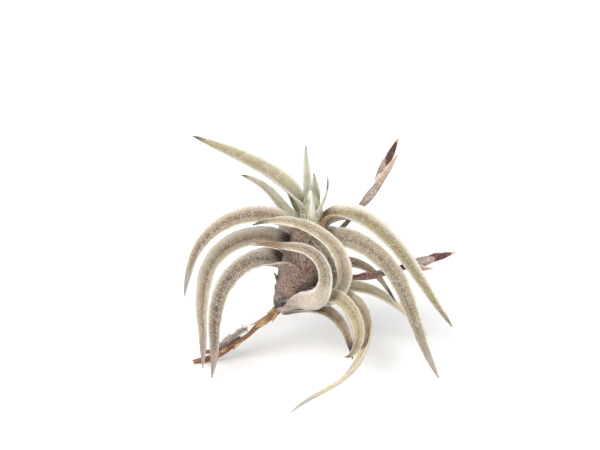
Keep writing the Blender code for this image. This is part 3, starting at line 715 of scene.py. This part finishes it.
def build_stalk(spike, index):
    """A slightly knotted thin stalk."""
    rows = spike_rows(spike)
    knots = [bract.start for bract in BRACTS if bract.spike == index]

    def place_vertex(ring, angle):
        point, _, across, outward, v = rows[ring]
        place = ring / (STALK_RINGS - 1)
        radius = spike_radius(spike, place) * (1.0 + 0.10 * drift(v * 1.2, index + 60.0))
        radius += sum(0.12 * math.exp(-((place - knot) * spike.length / 0.5) ** 2) for knot in knots)
        radius = (radius + 0.03 * math.sin(angle * 6.0 + v * 0.4)) * (1.0 - 0.85 * ease(0.84, 1.0, place))
        spot = ring_spot(point, across, outward, radius, angle)
        return spot, (radius * angle, v), (place, 0.0, 0.0, 0.0)

    tube_piece(spike.name, STALK_SIDES, STALK_RINGS, place_vertex, "stalk", "stalk", spike.node)


def build_bract(bract, index):
    """A pointed papery bract folded round its stalk, with a keel and thin pale edges."""
    spike = SPIKES[bract.spike]
    rows = spike_rows(spike)
    point, along, across, outward, _ = rows[round(bract.start * (STALK_RINGS - 1))]
    turn = math.radians(bract.turn)
    out = spoke(outward, across, turn)
    side = along.cross(out)
    lean = math.radians(bract.lean)
    ahead = along * math.cos(lean) + out * math.sin(lean)
    back = along * math.sin(lean) - out * math.cos(lean)
    root = point + out * (spike_radius(spike, bract.start) + 0.10)
    seed = 80.0 + index

    def place_vertex(ring, angle):
        place = ring / (BRACT_RINGS - 1)
        u = math.cos(angle)
        edge = abs(u)
        width = bract.width * (0.45 + 0.55 * ease(0.0, 0.45, place)) * max(0.0, 1.0 - place ** 2.0) ** 0.95
        width = max(0.10, width * (1.0 + 0.03 * drift(place * 5.0, seed)))
        belly = 0.24 * math.sin(math.pi * min(1.0, place * 1.12)) - 0.30 * ease(0.6, 1.0, place)
        row = (root + ahead * (bract.length * place) - back * belly, ahead, side, back, 0.0)
        thick = 0.24 * (1.0 - 0.7 * edge ** 2) * (1.0 - 0.5 * place)
        skin = math.sin(angle)
        spot, normal = channel_point(row, width, bract.wrap, 0.0, 0.0, thick, u, skin)
        keel = 0.10 * width * math.exp(-(u / 0.12) ** 2)
        ripple = 0.07 * width * edge ** 2 * drift(place * 6.0 + math.copysign(5.0, u), seed)
        spot = spot - normal * (keel - ripple - 0.012 * width * math.sin(u * 20.0))
        rooted = 1.0 - ease(0.0, 0.3, place)
        return spot, (u * width * 0.5, place * bract.length), (place, edge, 0.5 + 0.5 * skin, rooted)

    tube_piece(bract.name, BRACT_SIDES, BRACT_RINGS, place_vertex, bract.finish, bract.slot,
               "spike_" + bract.name)


# ---- stem, root and tuft ------------------------------------------------------------------------------

def strand_rows(table, rings):
    """A smoothed line through (x, y, z, radius) rows, with its radius at each ring."""
    line = []
    distance = 0.0
    for i, row in enumerate(table):
        point = Vector(row[:3])
        if i:
            distance += (point - Vector(table[i - 1][:3])).length
        line.append((point, Vector((0.0, 1.0, 0.0)), distance))
    girths = [(row[2], entry[3]) for row, entry in zip(line, table)]
    even = resample(line, rings)
    smooth_line(even, 10, 0.4, distance - 0.4)
    return directions(even), girths, distance


def add_strand(body, rows, girths, sides, seed, rib, roughen):
    """One woody strand: grooved along its length, swollen and shrunk along the way."""
    total = rows[-1][4]

    def place_vertex(ring, angle):
        point, _, across, outward, v = rows[ring]
        radius = blend(girths, v)
        shrink = 1.0 + roughen * drift(v * 1.1, seed) + 0.5 * roughen * drift(v * 3.1, seed + 1.0)
        groove = rib * math.sin(angle * GROOVES + 1.5 * drift(v * 0.4, seed) * 3.0)
        spin = Vector((math.cos(angle) * 3.0, math.sin(angle) * 3.0, v * 0.5 + seed))
        fibre = 0.5 * rib * noise.noise(spin)
        reach = radius * (shrink + groove + fibre)
        spot = ring_spot(point, across, outward, reach, angle)
        knot = math.exp(-((v - KNOT_AT) / KNOT_REACH) ** 2)
        return spot, (radius * angle, v), (v / total, knot, 0.0, 0.0)

    faces = shape_tube(body, sides, len(rows), place_vertex)
    bmesh.ops.recalc_face_normals(body, faces=faces)


def add_fibre(body, start, heading, length, radius, sides, sag=0.0):
    """A fine tapering hair from a point, bending over as it goes, with as many rings as sides."""
    side = heading.cross(Vector((0.3, 0.2, 1.0))).normalized()
    top = side.cross(heading).normalized()

    def place_vertex(ring, angle):
        place = ring / (sides - 1)
        thin = radius * (1.0 - 0.8 * place)
        middle = start + heading * (length * place) + Vector((0.0, 0.0, -sag)) * (place * place)
        middle += side * (0.12 * length * math.sin(place * 3.0 + start.x * 9.0))
        spot = ring_spot(middle, side, top, thin, angle)
        return spot, (radius * angle, length * place), (place, 0.0, 0.0, 0.0)

    fibre = new_body()
    shape_tube(fibre, sides, sides, place_vertex)
    face_out(fibre)
    append_body(body, fibre)


def build_stem():
    """The dry stem: a main strand and finer strands twisted along it."""
    rows, girths, _ = strand_rows(STEM, STEM_RINGS)
    body = new_body()
    core = [(v, girth * STEM_CORE_SHARE) for v, girth in girths]
    add_strand(body, rows, core, sides=28, seed=3.0, rib=0.08, roughen=0.12)
    for number, (phase, size, twist, first, last) in enumerate(STEM_STRANDS):
        path = []
        for point, _, across, outward, v in rows[int(first * STEM_RINGS):int(last * STEM_RINGS)]:
            around = phase + twist * v * 0.25 + 0.4 * drift(v * 0.5, number + 5.0)
            spot = ring_spot(point, across, outward, blend(girths, v) * 0.68, around)
            spot.z = max(spot.z, size + 0.04)
            path.append([spot, across, v])
        start, end = path[0][2], path[-1][2]
        sizes = [(start, size * 0.4), (start + 2.0, size), (end - 3.0, size), (end, size * 0.35)]
        add_strand(body, directions(path), sizes, sides=12, seed=20.0 + number, rib=0.10, roughen=0.22)
    finish_piece("dry_stem_wood", body, "bark", "stem", "dry_stem")


def add_slip(body, row, reach, around, length, seed):
    """One papery slip of bark that lifts off the stem."""
    point, along, across, outward, _ = row
    out = spoke(across, outward, around)
    side = along.cross(out)

    def place_vertex(ring, angle):
        place = ring / (SLIP_RINGS - 1.0)
        u = math.cos(angle)
        width = 0.85 * (1.0 - place ** 2) ** 0.6 + 0.06
        stand = reach * 0.80 + 0.08 + 0.32 * place * place
        curl = 0.30 * u * u * width
        middle = point + along * (length * place) + out * (stand - curl) + side * (0.5 * width * u)
        middle.z = max(middle.z, SLIP_REST)
        middle += out * (0.05 * math.sin(angle) + 0.06 * drift(place * 5.0 + u, seed))
        return middle, (u * width, place * length), (place, abs(u), 0.0, 0.0)

    faces = shape_tube(body, SLIP_SIDES, SLIP_RINGS, place_vertex)
    bmesh.ops.recalc_face_normals(body, faces=faces)


def build_slips():
    """Papery slips and frayed fibres that stand off the dry stem at its joints and its end."""
    rows, girths, total = strand_rows(STEM, STEM_RINGS)
    body = new_body()
    for number, (v, around, length) in enumerate(SLIPS):
        row = rows[min(len(rows) - 1, int(v / total * len(rows)))]
        add_slip(body, row, blend(girths, v), around, length, number + 30.0)
    end, along, across, outward, _ = rows[-1]
    for _ in range(FRAYED_FIBRES):
        around = random.uniform(0.0, 2.0 * math.pi)
        reach = random.uniform(0.1, 0.42)
        out = spoke(across, outward, around)
        start = end - along * random.uniform(0.3, 1.2) + out * reach
        start.z = max(start.z, 0.16)
        heading = (along + out * random.uniform(0.05, 0.25)).normalized()
        heading.z = max(heading.z, 0.0)
        add_fibre(body, start, heading, random.uniform(0.7, 1.2), radius=0.09, sides=6)
    finish_piece("stem_bark_slips", body, "slip", "stem")


def build_root():
    """The thin side root, with a few short rootlets."""
    rows, girths, _ = strand_rows(ROOT, ROOT_RINGS)
    body = new_body()
    add_strand(body, rows, girths, sides=20, seed=9.0, rib=0.08, roughen=0.12)
    for _ in range(ROOTLETS):
        point, along, across, outward, v = rows[random.randrange(4, ROOT_RINGS - 4)]
        out = spoke(across, outward, random.uniform(0.0, 2.0 * math.pi))
        start = point + out * (blend(girths, v) * 0.8)
        heading = (out + along * random.uniform(-0.2, 0.9)).normalized()
        if start.z + heading.z < 0.2:
            continue
        add_fibre(body, start, heading, random.uniform(0.4, 1.0), radius=0.05, sides=5)
    finish_piece("side_root_strand", body, "root", "root", "side_root")


def build_tuft():
    """A tuft of fine grey hairs on a soft middle."""
    rows, girths, _ = strand_rows(TUFT, TUFT_RINGS)
    body = new_body()
    thin = [(v, girth * 0.72) for v, girth in girths]
    add_strand(body, rows, thin, sides=16, seed=15.0, rib=0.14, roughen=0.30)
    for _ in range(TUFT_HAIRS):
        point, along, across, outward, v = rows[random.randrange(0, TUFT_RINGS)]
        out = spoke(across, outward, random.uniform(0.0, 2.0 * math.pi))
        start = point + out * (blend(girths, v) * 0.6)
        heading = (out * random.uniform(0.3, 1.0) - along * random.uniform(-0.5, 1.0)).normalized()
        add_fibre(body, start, heading, random.uniform(0.35, 1.05), radius=0.045, sides=4, sag=0.05)
    finish_piece("root_hairs", body, "fuzz", "fuzz", "root_hair_tuft")


def build_painted_shadow_fold():
    """Painted shadow: a dark curled strand along the edge where the outermost leaf base overlaps the lower
    curl's, standing in for the shadow line there.
    """
    path = []
    distance = 0.0
    for ring in range(PAINTED_SHADOW_RINGS):
        place = ring / (PAINTED_SHADOW_RINGS - 1)
        heading = math.radians(PAINTED_SHADOW_START[1] + (PAINTED_SHADOW_END[1] - PAINTED_SHADOW_START[1]) * place)
        seat = PAINTED_SHADOW_START[0] + (PAINTED_SHADOW_END[0] - PAINTED_SHADOW_START[0]) * place + 0.05 * math.sin(math.pi * place)
        clear = 0.78 + 0.14 * math.sin(math.pi * place) + 0.08 * drift(place * 6.0, 51.0)
        point = core_rim(seat, heading, clear)
        if path:
            distance += (point - path[-1][0]).length
        path.append([point, Vector((0.0, 0.0, 1.0)), distance])
    girths = [(0.0, 0.12), (0.20 * distance, 0.34), (0.75 * distance, 0.40), (distance, 0.12)]
    body = new_body()
    add_strand(body, directions(path), girths, sides=14, seed=52.0, rib=0.14, roughen=0.30)
    finish_piece("painted_shadow_fold", body, "husk", "dry_sheath")


def build_stub():
    """The torn, curled end of an old sheath."""
    rows, girths, total = strand_rows(STUB, STUB_RINGS)
    body = new_body()

    def place_vertex(ring, angle):
        point, _, across, outward, v = rows[ring]
        radius = blend(girths, v) * (1.25 + 0.3 * drift(v * 3.0, 33.0))
        squash = 0.42 + 0.2 * drift(v * 2.0, 35.0)
        fold = 0.25 * math.cos(angle * 2.0)
        rise = squash * math.sin(angle) + fold
        spot = point + across * (radius * 1.35 * math.cos(angle)) + outward * (radius * rise)
        return spot, (radius * angle, v), (v / total, 0.0, 0.0, 0.0)

    shape_tube(body, 20, STUB_RINGS, place_vertex)
    face_out(body)
    for _ in range(STUB_THREADS):
        point, along, across, outward, _ = rows[random.randrange(14, STUB_RINGS)]
        heading = along + across * random.uniform(-0.8, 0.8) + outward * random.uniform(-0.8, 0.8)
        add_fibre(body, point, heading.normalized(), random.uniform(0.2, 0.4), radius=0.08, sides=5)
    finish_piece("torn_stub", body, "husk", "dry_sheath", "sheath_torn_stub")


# ---- materials ----------------------------------------------------------------------------------------

class Wiring:
    """Adds nodes to one shader tree. Each input takes a socket, a number or a colour."""

    def __init__(self, tree):
        self.tree = tree

    def set(self, target, source):
        if isinstance(source, bpy.types.NodeSocket):
            self.tree.links.new(source, target)
        else:
            target.default_value = source

    def node(self, kind, inputs, **settings):
        """A new node; its inputs go by label or by number."""
        node = self.tree.nodes.new("ShaderNode" + kind)
        for label, value in settings.items():
            setattr(node, label, value)
        for label, value in inputs.items():
            self.set(node.inputs[label], value)
        return node

    def math(self, operation, first, second, clamp=False):
        return self.node("Math", {0: first, 1: second}, operation=operation, use_clamp=clamp).outputs[0]

    def times(self, first, second):
        return self.math("MULTIPLY", first, second)

    def plus(self, first, second, clamp=False):
        return self.math("ADD", first, second, clamp)

    def less(self, first, second, clamp=False):
        return self.math("SUBTRACT", first, second, clamp)

    def sway(self, value, amount):
        """A value from 0 to 1 as a shift to either side of nothing."""
        return self.times(self.less(value, 0.5), amount)

    def vector(self, operation, first, second):
        return self.node("VectorMath", {0: first, 1: second}, operation=operation).outputs[0]

    def ramp(self, value, low, high, start=0.0, end=1.0):
        """Smoothly mapped value: start below low, end above high."""
        return self.node("MapRange", {"Value": value, "From Min": low, "From Max": high,
                                      "To Min": start, "To Max": end},
                         interpolation_type="SMOOTHSTEP").outputs["Result"]

    def mix(self, factor, first, second, mode="MIX"):
        return self.node("Mix", {0: factor, 6: first, 7: second},
                         data_type="RGBA", blend_type=mode, clamp_factor=True).outputs[2]

    def darken(self, factor, colour, tint):
        return self.mix(factor, colour, tint, "MULTIPLY")

    def noise(self, vector, scale, detail=3.0, roughness=0.6):
        return self.node("TexNoise", {"Vector": vector, "Scale": scale, "Detail": detail,
                                      "Roughness": roughness}).outputs["Fac"]

    def cells(self, vector, scale, randomness):
        return self.node("TexVoronoi", {"Vector": vector, "Scale": scale, "Randomness": randomness})

    def split(self, colour):
        return self.node("SeparateColor", {0: colour}).outputs

    def surface(self):
        """The millimetre UV map, the place on the leaf (colour and alpha), and Object coordinates."""
        flat = self.node("UVMap", {}, uv_map="skin_mm").outputs[0]
        spot = self.node("Attribute", {}, attribute_name="place").outputs
        return flat, self.split(spot["Color"]), spot["Alpha"], self.node("TexCoord", {}).outputs["Object"]


def new_group(name, inputs, outputs):
    """A shader node group with named sockets, its value or colour given with each input."""
    tree = bpy.data.node_groups.new(name, "ShaderNodeTree")
    for label, value in inputs.items():
        kind = "Vector" if value is None else "Float" if isinstance(value, float) else "Color"
        socket = tree.interface.new_socket(label, in_out="INPUT", socket_type="NodeSocket" + kind)
        if value is not None:
            socket.default_value = value
    for label in outputs:
        kind = "Color" if label == "Colour" else "Float"
        tree.interface.new_socket(label, in_out="OUTPUT", socket_type="NodeSocket" + kind)
    given = tree.nodes.new("NodeGroupInput").outputs
    return tree, Wiring(tree), given, tree.nodes.new("NodeGroupOutput").inputs


def make_scales():
    """Silver scales: small pale discs scattered over the skin, some missing."""
    tree, g, given, result = new_group(
        "silver_scales", {"Vector": None, "Size": 0.2, "Cover": 0.4}, ("Mask", "Height"))
    size = given["Size"]
    cell = g.node("CombineXYZ", {0: size, 1: g.times(size, 1.35), 2: size}).outputs[0]
    spots = g.cells(g.vector("DIVIDE", given["Vector"], cell), 1.0, 0.9).outputs
    disc = g.ramp(spots["Distance"], 0.34, 0.72, 1.0, 0.0)
    shade = g.split(spots["Color"])
    patch = g.noise(given["Vector"], 0.55, 3.0, 0.5)
    want = g.plus(given["Cover"], g.sway(patch, 0.8))
    kept = g.ramp(g.less(want, shade[0]), -0.12, 0.12)
    shown = g.times(disc, kept)
    bright = g.ramp(shade[1], 0.0, 1.0, 0.14, 0.62)
    g.set(result["Mask"], g.times(shown, bright))
    g.set(result["Height"], shown)
    return tree


def make_streaks():
    """Fine streaks that run along the leaf, stem or bract."""
    tree, g, given, result = new_group(
        "long_streaks", {"Vector": None, "Across": 5.0, "Along": 0.35}, ("Streak",))
    stretch = g.node("CombineXYZ", {0: given["Across"], 1: given["Along"], 2: 1.0}).outputs[0]
    pulled = g.vector("MULTIPLY", given["Vector"], stretch)
    g.set(result["Streak"], g.ramp(g.noise(pulled, 1.0, 4.0), 0.34, 0.66))
    return tree


def make_skin(scales, streaks):
    """Scaly leaf skin: ground colours by face, base and tip, silver scales, pale margins, painted shade in
    the crease, and painted light on one side of the fold.
    """
    tree, g, given, result = new_group("scaly_skin", {
        "Channel Colour": GREY, "Underside Colour": GREY, "Base Colour": GREY, "Margin Colour": GREY,
        "Tip Colour": GREY, "Scale Colour": SCALE_COLOUR, "Cover": 0.4, "Scale Size": 0.2,
        "Tip Start": 0.9, "Margin Share": 0.12, "Crease": 0.5, "Pits": 0.95, "Painted Lit Side": 0.0,
    }, ("Colour", "Roughness", "Height"))
    flat, place, base, space = g.surface()
    along, edge, channel = place[0], place[1], place[2]
    stains = g.noise(space, STAIN_SCALE, 4.0)
    mottle = g.noise(space, MOTTLE_SCALE)
    streak = g.node("Group", {"Vector": flat}, node_tree=streaks).outputs[0]
    mask, height = g.node("Group", {"Vector": flat, "Size": given["Scale Size"], "Cover": given["Cover"]},
                          node_tree=scales).outputs[:2]

    # ground colours of the two faces and of the wrapped base
    colour = g.mix(channel, given["Underside Colour"], given["Channel Colour"])
    base_mask = g.ramp(g.plus(base, g.sway(mottle, 0.5)), 0.15, 0.75)
    colour = g.mix(base_mask, colour, given["Base Colour"])

    # stains, the pits of the base, and streaks
    dots = g.cells(flat, PIT_PER_MM, 0.85).outputs["Distance"]
    pit = g.times(g.ramp(dots, 0.30, 0.66, 1.0, 0.0), g.ramp(mottle, 0.32, 0.58, 0.35, 1.0))
    stained = g.times(g.ramp(stains, 0.42, 0.70), g.ramp(base_mask, 0.0, 1.0, 0.45, 0.85))
    colour = g.darken(stained, colour, STAIN_TINT)
    colour = g.darken(g.times(g.times(pit, base_mask), given["Pits"]), colour, PIT_TINT)
    colour = g.darken(g.times(streak, 0.34), colour, STREAK_TINT)

    # painted shade in the fold in the middle of the channel, and painted light that makes one side of the
    # blade paler
    fold = g.times(g.times(channel, given["Crease"]), g.ramp(base, 0.05, 0.60, 1.0, 0.15))
    colour = g.darken(g.times(g.ramp(edge, 0.05, 0.70, 0.9, 0.0), fold), colour, SHADE_TINT)
    # painted shade: a narrow darker line along the crease
    wavy = g.plus(edge, g.sway(streak, 0.12))
    colour = g.darken(g.times(g.ramp(wavy, 0.02, 0.17, 1.0, 0.0), fold), colour, PAINTED_CREASE_SHADE_TINT)
    # painted light: a paler band over one side of the fold
    side = g.node("SeparateXYZ", {0: flat}).outputs[0]
    painted_lit_band = g.ramp(g.times(side, given["Painted Lit Side"]), 0.25, 1.40, 0.0, 0.60)
    painted_lit_band = g.times(painted_lit_band, g.ramp(base_mask, 0.0, 1.0, 1.0, 0.0))
    painted_lit_band = g.times(painted_lit_band, g.ramp(mottle, 0.30, 0.60, 0.70, 1.0))
    colour = g.mix(painted_lit_band, colour, given["Margin Colour"])

    # silver scales, fewer on the dry tip and the base
    dry = g.ramp(g.less(g.plus(along, g.sway(stains, 0.10)), given["Tip Start"]), -0.07, 0.05)
    silver = g.times(mask, g.less(1.0, g.times(dry, 0.75)))
    silver = g.times(silver, g.ramp(base_mask, 0.0, 1.0, 1.0, 0.30))
    colour = g.mix(silver, colour, given["Scale Colour"])

    # pale margins, then the dry tip
    rim = g.ramp(g.plus(edge, g.sway(mottle, 0.16)), g.less(1.0, given["Margin Share"]), 1.0, 0.0, 0.80)
    rim = g.times(rim, g.ramp(height, 0.0, 1.0, 0.65, 1.0))
    rim = g.times(rim, g.ramp(base, 0.2, 0.8, 1.0, 0.08))
    colour = g.mix(rim, colour, given["Margin Colour"])
    tipped = g.darken(g.times(streak, 0.4), given["Tip Colour"], TIP_TINT)
    tipped = g.mix(g.times(mask, 0.35), tipped, given["Scale Colour"])
    g.set(result["Colour"], g.mix(dry, colour, tipped))

    rough = g.plus(0.62, g.times(mottle, 0.22))
    g.set(result["Roughness"], g.less(rough, g.times(dry, 0.08), True))
    relief = g.plus(g.times(height, 0.7), g.times(streak, 0.55))
    g.set(result["Height"], g.plus(relief, g.times(mottle, 0.5)))
    return tree


def make_bark(streaks):
    """Dry fibrous bark: two colours streaked along the strand, dark cracks and pale dusty flecks."""
    tree, g, given, result = new_group("dry_bark", {
        "Wood Colour": GREY, "Shade Colour": GREY, "Joint Colour": GREY, "Dust Colour": GREY, "Dust": 0.2,
    }, ("Colour", "Roughness", "Height"))
    flat, place, _, space = g.surface()
    streak = g.node("Group", {"Vector": flat, "Across": 4.0, "Along": 0.5}, node_tree=streaks).outputs[0]
    patches = g.noise(space, PATCH_SCALE)
    grain = g.noise(space, GRAIN_SCALE)
    colour = g.mix(streak, given["Wood Colour"], given["Shade Colour"])
    knot = g.times(place[1], g.ramp(patches, 0.35, 0.55))
    knot = g.plus(knot, g.ramp(patches, 0.56, 0.70, 0.0, 0.55), True)
    colour = g.mix(knot, colour, given["Joint Colour"])
    flecks = g.times(g.ramp(grain, 0.56, 0.70), given["Dust"])
    colour = g.mix(flecks, colour, given["Dust Colour"])
    colour = g.darken(g.ramp(grain, 0.30, 0.44, 0.7, 0.0), colour, CRACK_TINT)
    g.set(result["Colour"], colour)
    g.set(result["Roughness"], g.plus(0.50, g.times(grain, 0.35)))
    g.set(result["Height"], g.plus(streak, g.times(grain, 0.5)))
    return tree


def principled(material):
    """The material's own shader."""
    material.use_nodes = True
    return next(node for node in material.node_tree.nodes if node.type == "BSDF_PRINCIPLED")


def shaded(name, group, values, bump_mm, sheen):
    """A Principled material fed by a group, with its own values."""
    material = bpy.data.materials.new(name)
    surface = principled(material)
    g = Wiring(material.node_tree)
    source = g.node("Group", values, node_tree=group).outputs
    bump = g.node("Bump", {"Strength": 1.0, "Distance": bump_mm * 0.001, "Height": source["Height"]})
    for label, value in (("Base Color", source["Colour"]), ("Roughness", source["Roughness"]),
                         ("Normal", bump.outputs["Normal"]), ("Sheen Weight", sheen),
                         ("Sheen Roughness", 0.5), ("Specular IOR Level", 0.35)):
        g.set(surface.inputs[label], value)
    return material


def make_materials():
    """Every finish as a material, by name."""
    streaks = make_streaks()
    skin = make_skin(make_scales(), streaks)
    bark = make_bark(streaks)
    made = {}
    for name, finish in FINISHES.items():
        made[name] = shaded("skin_" + name, skin, {
            "Channel Colour": (*finish.face, 1.0), "Underside Colour": (*finish.under, 1.0),
            "Base Colour": (*finish.base, 1.0), "Margin Colour": (*finish.margin, 1.0),
            "Tip Colour": (*finish.tip, 1.0), "Cover": finish.cover, "Scale Size": finish.scale_mm,
            "Tip Start": finish.tip_start, "Margin Share": finish.margin_share,
            "Crease": finish.crease, "Painted Lit Side": PAINTED_LIT_SIDE.get(name, 0.0),
        }, SKIN_BUMP_MM, SPIKE_SHEEN if name in SPIKE_FINISHES else LEAF_SHEEN)
    for name, finish in BARKS.items():
        made[name] = shaded(finish.label, bark, {
            "Wood Colour": (*finish.wood, 1.0), "Shade Colour": (*finish.shade, 1.0),
            "Joint Colour": (*finish.joint, 1.0), "Dust Colour": (*finish.dust_colour, 1.0),
            "Dust": finish.dust}, finish.bump_mm, finish.sheen)
    return made


# ---- floor, light and camera --------------------------------------------------------------------------

def build_stage():
    """A pale floor."""
    body = bmesh.new()
    bmesh.ops.create_grid(body, x_segments=1, y_segments=1, size=FLOOR_SIZE)
    mesh = bpy.data.meshes.new("pale_floor")
    body.to_mesh(mesh)
    body.free()
    material = bpy.data.materials.new("floor_paper")
    surface = principled(material)
    surface.inputs["Base Color"].default_value = FLOOR_COLOUR
    surface.inputs["Roughness"].default_value = 0.9
    surface.inputs["Specular IOR Level"].default_value = 0.1
    mesh.materials.append(material)
    add_object("pale_floor", mesh)


def build_light():
    """White surroundings and soft round lights that face the plant."""
    world = bpy.data.worlds.new("studio")
    world.use_nodes = True
    back = next(node for node in world.node_tree.nodes if node.type == "BACKGROUND")
    back.inputs["Color"].default_value = (1.0, 1.0, 1.0, 1.0)
    back.inputs["Strength"].default_value = WORLD_STRENGTH
    bpy.context.scene.world = world
    for name, spot, size, power in LIGHTS:
        lamp = bpy.data.lights.new(name, "AREA")
        lamp.shape = "DISK"
        lamp.size = size
        lamp.energy = power
        thing = add_object(name, lamp)
        thing.location = spot
        thing.rotation_euler = (to_metres(CAMERA_AIM) - Vector(spot)).to_track_quat("-Z", "Y").to_euler()
    bpy.context.scene.view_settings.view_transform = "Standard"


def build_camera():
    lens = bpy.data.cameras.new("view")
    lens.lens = CAMERA_LENS
    lens.sensor_width = 36.0
    lens.clip_start = 0.01
    camera = add_object("view", lens)
    camera.location = CAMERA_SPOT * 0.001
    camera.rotation_euler = (CAMERA_AIM - CAMERA_SPOT).to_track_quat("-Z", "Y").to_euler()
    bpy.context.scene.camera = camera


MATERIALS = make_materials()
build_camera()
build_light()
build_stage()
build_core()
for build, entries in ((build_leaf, LEAVES + HEART_LEAVES), (build_shield, SHIELDS),
                       (build_stalk, SPIKES), (build_bract, BRACTS)):
    for number, entry in enumerate(entries):
        build(entry, number)
build_stem()
build_slips()
build_root()
build_tuft()
build_painted_shadow_fold()
build_stub()
